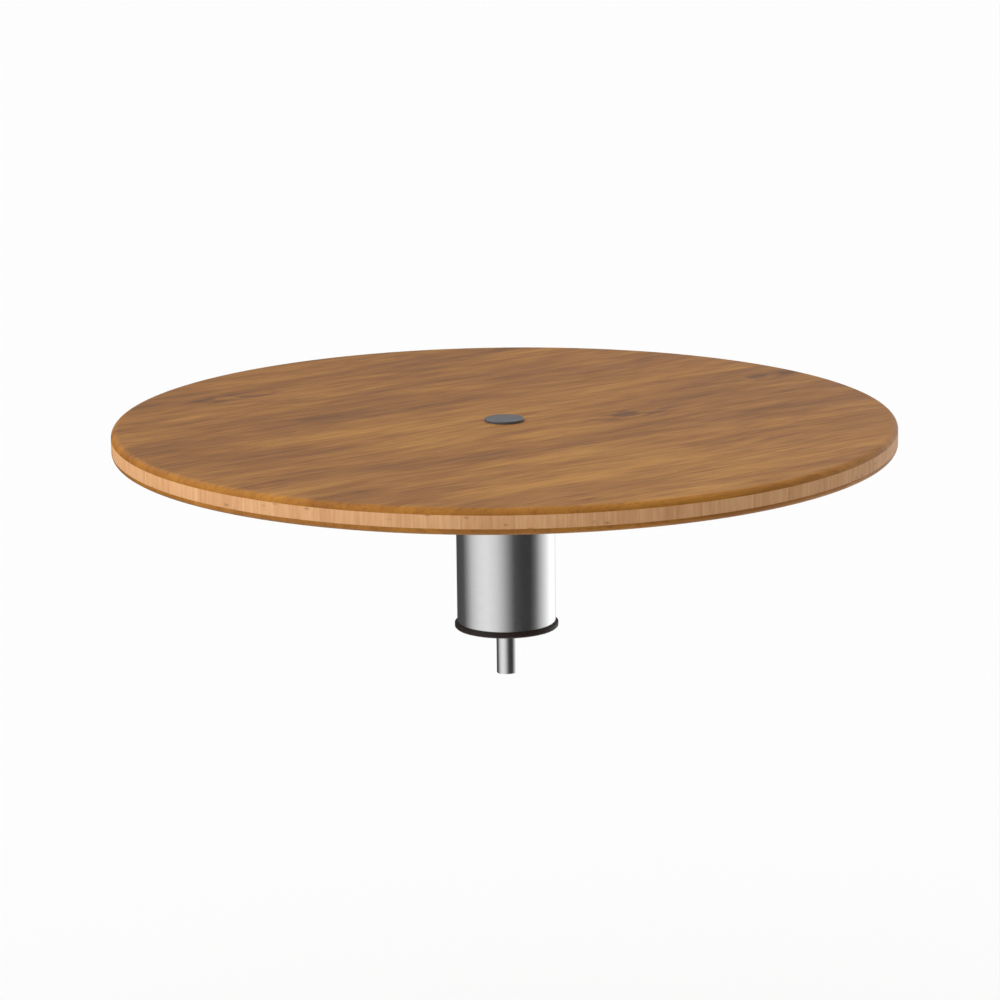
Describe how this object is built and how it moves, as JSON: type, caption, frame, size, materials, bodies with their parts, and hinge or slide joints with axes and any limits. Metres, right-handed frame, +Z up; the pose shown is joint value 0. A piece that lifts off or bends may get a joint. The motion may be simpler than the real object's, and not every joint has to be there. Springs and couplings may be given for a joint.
{
  "type": "lazy susan turntable",
  "caption": "Round bamboo turntable on a brushed steel column with a black foot and a pin that drops into a table's centre hole.",
  "frame": {"origin": "centre of the foot's underside, in the plane of the table top that it stands on, over the hole that takes the pin", "axes": "+Z up along the column, the axis that the board turns about; +X and +Y lie in the table's plane, and the board's grain runs about 35 degrees from +X towards +Y"},
  "size_m": [0.6, 0.6, 0.201],
  "materials": {
    "face_bamboo": "satin oiled, caramel",
    "edge_bamboo": "satin, pale side-pressed strips",
    "brushed_stainless": "brushed",
    "grey_cap": "satin grey",
    "black_rubber": "matt",
    "turned_aluminium": "turned",
    "insert_brass": "machined",
    "cage_nylon": "natural nylon",
    "bearing_steel": "ground and polished",
    "zinc_plated_steel": "bright zinc plate"
  },
  "bodies": {
    "column": {"column_tube": "brushed_stainless", "bearing_housing": "turned_aluminium", "dust_seal": "black_rubber", "base_disc": "zinc_plated_steel", "locating_pin": "brushed_stainless", "pin_washer": "zinc_plated_steel", "pin_nut": "zinc_plated_steel", "foot_plug": "black_rubber", "upper_outer_race": "bearing_steel", "upper_top_seal": "black_rubber", "upper_bottom_seal": "black_rubber", "lower_outer_race": "bearing_steel", "lower_top_seal": "black_rubber", "lower_bottom_seal": "black_rubber"},
    "upper_cage": {"upper_ball_cage": "cage_nylon", "upper_ball_1": "bearing_steel", "upper_ball_2": "bearing_steel", "upper_ball_3": "bearing_steel", "upper_ball_4": "bearing_steel", "upper_ball_5": "bearing_steel", "upper_ball_6": "bearing_steel", "upper_ball_7": "bearing_steel", "upper_ball_8": "bearing_steel", "upper_ball_9": "bearing_steel"},
    "lower_cage": {"lower_ball_cage": "cage_nylon", "lower_ball_1": "bearing_steel", "lower_ball_2": "bearing_steel", "lower_ball_3": "bearing_steel", "lower_ball_4": "bearing_steel", "lower_ball_5": "bearing_steel", "lower_ball_6": "bearing_steel", "lower_ball_7": "bearing_steel", "lower_ball_8": "bearing_steel", "lower_ball_9": "bearing_steel"},
    "turntable": {"board_top_ply": "face_bamboo", "board_core_ply": "edge_bamboo", "board_bottom_ply": "face_bamboo", "centre_cap": "grey_cap", "centre_bolt": "zinc_plated_steel", "centre_washer": "zinc_plated_steel", "board_insert_1": "insert_brass", "board_insert_2": "insert_brass", "board_insert_3": "insert_brass", "board_insert_4": "insert_brass", "board_insert_5": "insert_brass", "board_insert_6": "insert_brass", "flange_screw_1": "zinc_plated_steel", "flange_screw_2": "zinc_plated_steel", "flange_screw_3": "zinc_plated_steel", "flange_screw_4": "zinc_plated_steel", "flange_screw_5": "zinc_plated_steel", "flange_screw_6": "zinc_plated_steel", "mounting_flange": "brushed_stainless", "spindle": "bearing_steel", "bearing_spacer": "zinc_plated_steel", "spindle_washer": "zinc_plated_steel", "spindle_locknut": "zinc_plated_steel", "upper_inner_race": "bearing_steel", "lower_inner_race": "bearing_steel"}
  },
  "joints": [
    {"name": "turntable_spin", "type": "hinge", "parent": "column", "child": "turntable", "pos_m": [0, 0, 0.1285], "axis": [0, 0, 1], "continuous": true},
    {"name": "upper_cage_spin", "type": "hinge", "parent": "column", "child": "upper_cage", "pos_m": [0, 0, 0.1285], "axis": [0, 0, 1], "continuous": true},
    {"name": "lower_cage_spin", "type": "hinge", "parent": "column", "child": "lower_cage", "pos_m": [0, 0, 0.0925], "axis": [0, 0, 1], "continuous": true}
  ],
  "couplings": [
    {"joint": "upper_cage_spin", "follows": "turntable_spin", "ratio": 0.3976},
    {"joint": "lower_cage_spin", "follows": "turntable_spin", "ratio": 0.3976}
  ]
}
